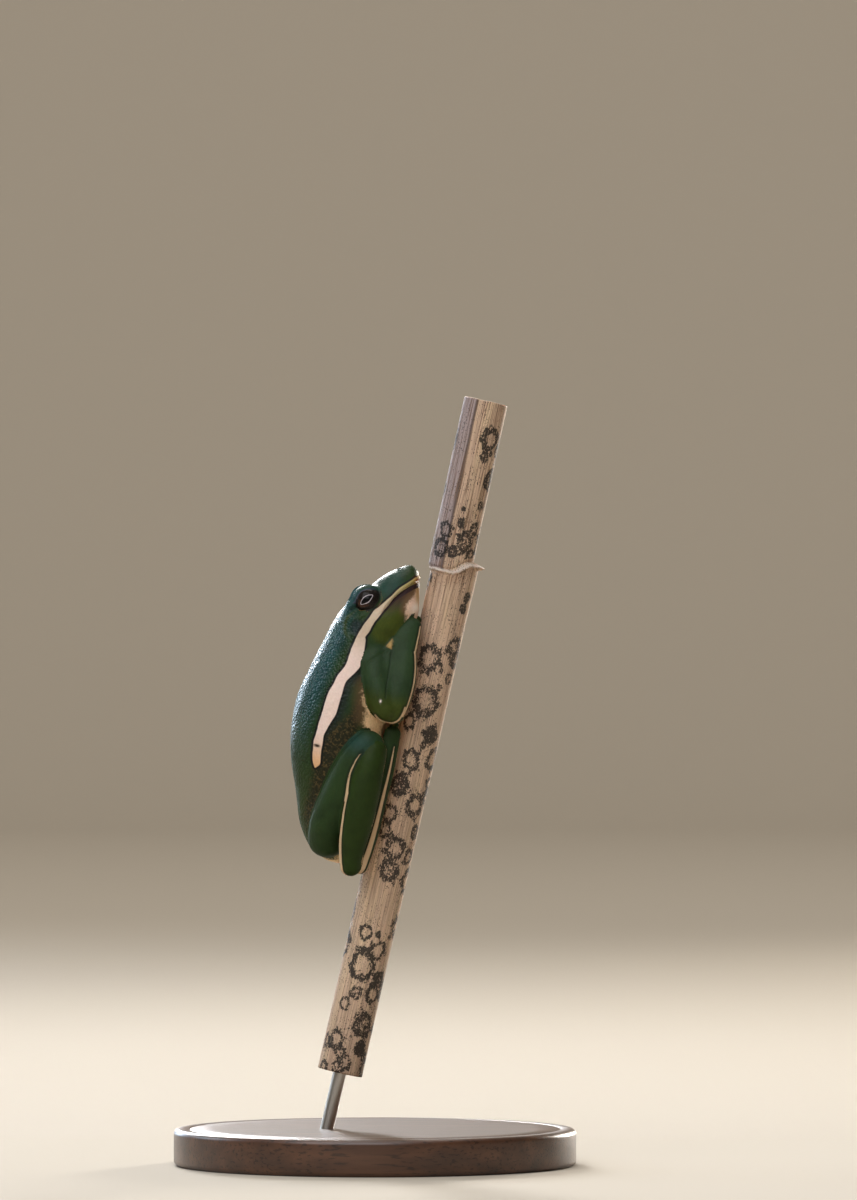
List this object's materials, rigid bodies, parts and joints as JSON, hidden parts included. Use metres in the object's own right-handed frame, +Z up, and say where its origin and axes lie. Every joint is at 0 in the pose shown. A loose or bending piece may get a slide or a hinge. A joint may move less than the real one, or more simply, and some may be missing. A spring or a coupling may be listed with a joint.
{
  "type": "green tree frog model",
  "caption": "Life-size model of a slender green tree frog with a pale side stripe, resting head up on a leaning dry reed, on a round wooden display stand.",
  "frame": {"origin": "middle of the stand base's underside, on the surface that it stands on", "axes": "+Z up; the reed leans towards +X; the frog clings to the reed's -X side, head up, and its right side faces -Y"},
  "size_m": [0.066, 0.066, 0.126],
  "materials": {
    "frog_skin": "moist smooth green skin with a cream stripe, satin",
    "frog_eye": "wet, glossy, dark bronze with a pale ring round a level pupil",
    "dry_reed": "dry ribbed straw with dark blotches",
    "stained_wood": "dark stain under satin varnish",
    "steel_rod": "drawn"
  },
  "bodies": {
    "root": {"torso": "frog_skin", "head": "frog_skin", "upper_arm_right": "frog_skin", "forearm_right": "frog_skin", "hand_right": "frog_skin", "thigh_right": "frog_skin", "shank_right": "frog_skin", "foot_right": "frog_skin", "upper_arm_left": "frog_skin", "forearm_left": "frog_skin", "hand_left": "frog_skin", "thigh_left": "frog_skin", "shank_left": "frog_skin", "foot_left": "frog_skin", "eye_right": "frog_eye", "eye_left": "frog_eye", "reed": "dry_reed", "stand_rod": "steel_rod", "stand_base": "stained_wood"}
  },
  "joints": []
}
